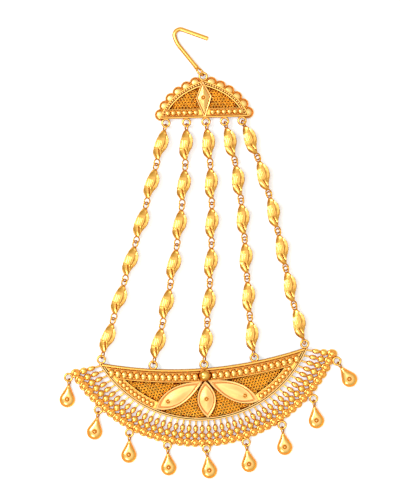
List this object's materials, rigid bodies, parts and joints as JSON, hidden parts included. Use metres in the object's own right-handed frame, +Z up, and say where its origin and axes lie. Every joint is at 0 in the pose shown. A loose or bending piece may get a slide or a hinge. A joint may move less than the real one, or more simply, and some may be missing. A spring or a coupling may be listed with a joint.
{
  "type": "forehead pendant",
  "caption": "Gold head ornament: a hook and small crown plate joined by strands of twisted beads to a crescent plate with a pierced fringe and hanging drops.",
  "frame": {"origin": "middle of the bounding box, on the surface that the ornament lies on", "axes": "+Z up from that surface, +Y from the crescent towards the hook, +X to the right as seen from above"},
  "size_m": [0.0892, 0.1352, 0.0039],
  "materials": {
    "polished_gold": "polished yellow gold",
    "worked_gold": "yellow gold with filigree, grains and raised leaves"
  },
  "bodies": {
    "root": {"hook": "polished_gold", "crown": "worked_gold", "crescent": "worked_gold", "strand_1_bead_1": "polished_gold", "strand_1_bead_2": "polished_gold", "strand_1_bead_3": "polished_gold", "strand_1_bead_4": "polished_gold", "strand_1_bead_5": "polished_gold", "strand_1_bead_6": "polished_gold", "strand_2_bead_1": "polished_gold", "strand_2_bead_2": "polished_gold", "strand_2_bead_3": "polished_gold", "strand_2_bead_4": "polished_gold", "strand_2_bead_5": "polished_gold", "strand_2_bead_6": "polished_gold", "strand_3_bead_1": "polished_gold", "strand_3_bead_2": "polished_gold", "strand_3_bead_3": "polished_gold", "strand_3_bead_4": "polished_gold", "strand_3_bead_5": "polished_gold", "strand_3_bead_6": "polished_gold", "strand_4_bead_1": "polished_gold", "strand_4_bead_2": "polished_gold", "strand_4_bead_3": "polished_gold", "strand_4_bead_4": "polished_gold", "strand_4_bead_5": "polished_gold", "strand_4_bead_6": "polished_gold", "strand_5_bead_1": "polished_gold", "strand_5_bead_2": "polished_gold", "strand_5_bead_3": "polished_gold", "strand_5_bead_4": "polished_gold", "strand_5_bead_5": "polished_gold", "strand_5_bead_6": "polished_gold", "drop_1": "polished_gold", "drop_2": "polished_gold", "drop_3": "polished_gold", "drop_4": "polished_gold", "drop_5": "polished_gold", "drop_6": "polished_gold", "drop_7": "polished_gold", "drop_8": "polished_gold", "drop_9": "polished_gold"}
  },
  "joints": []
}
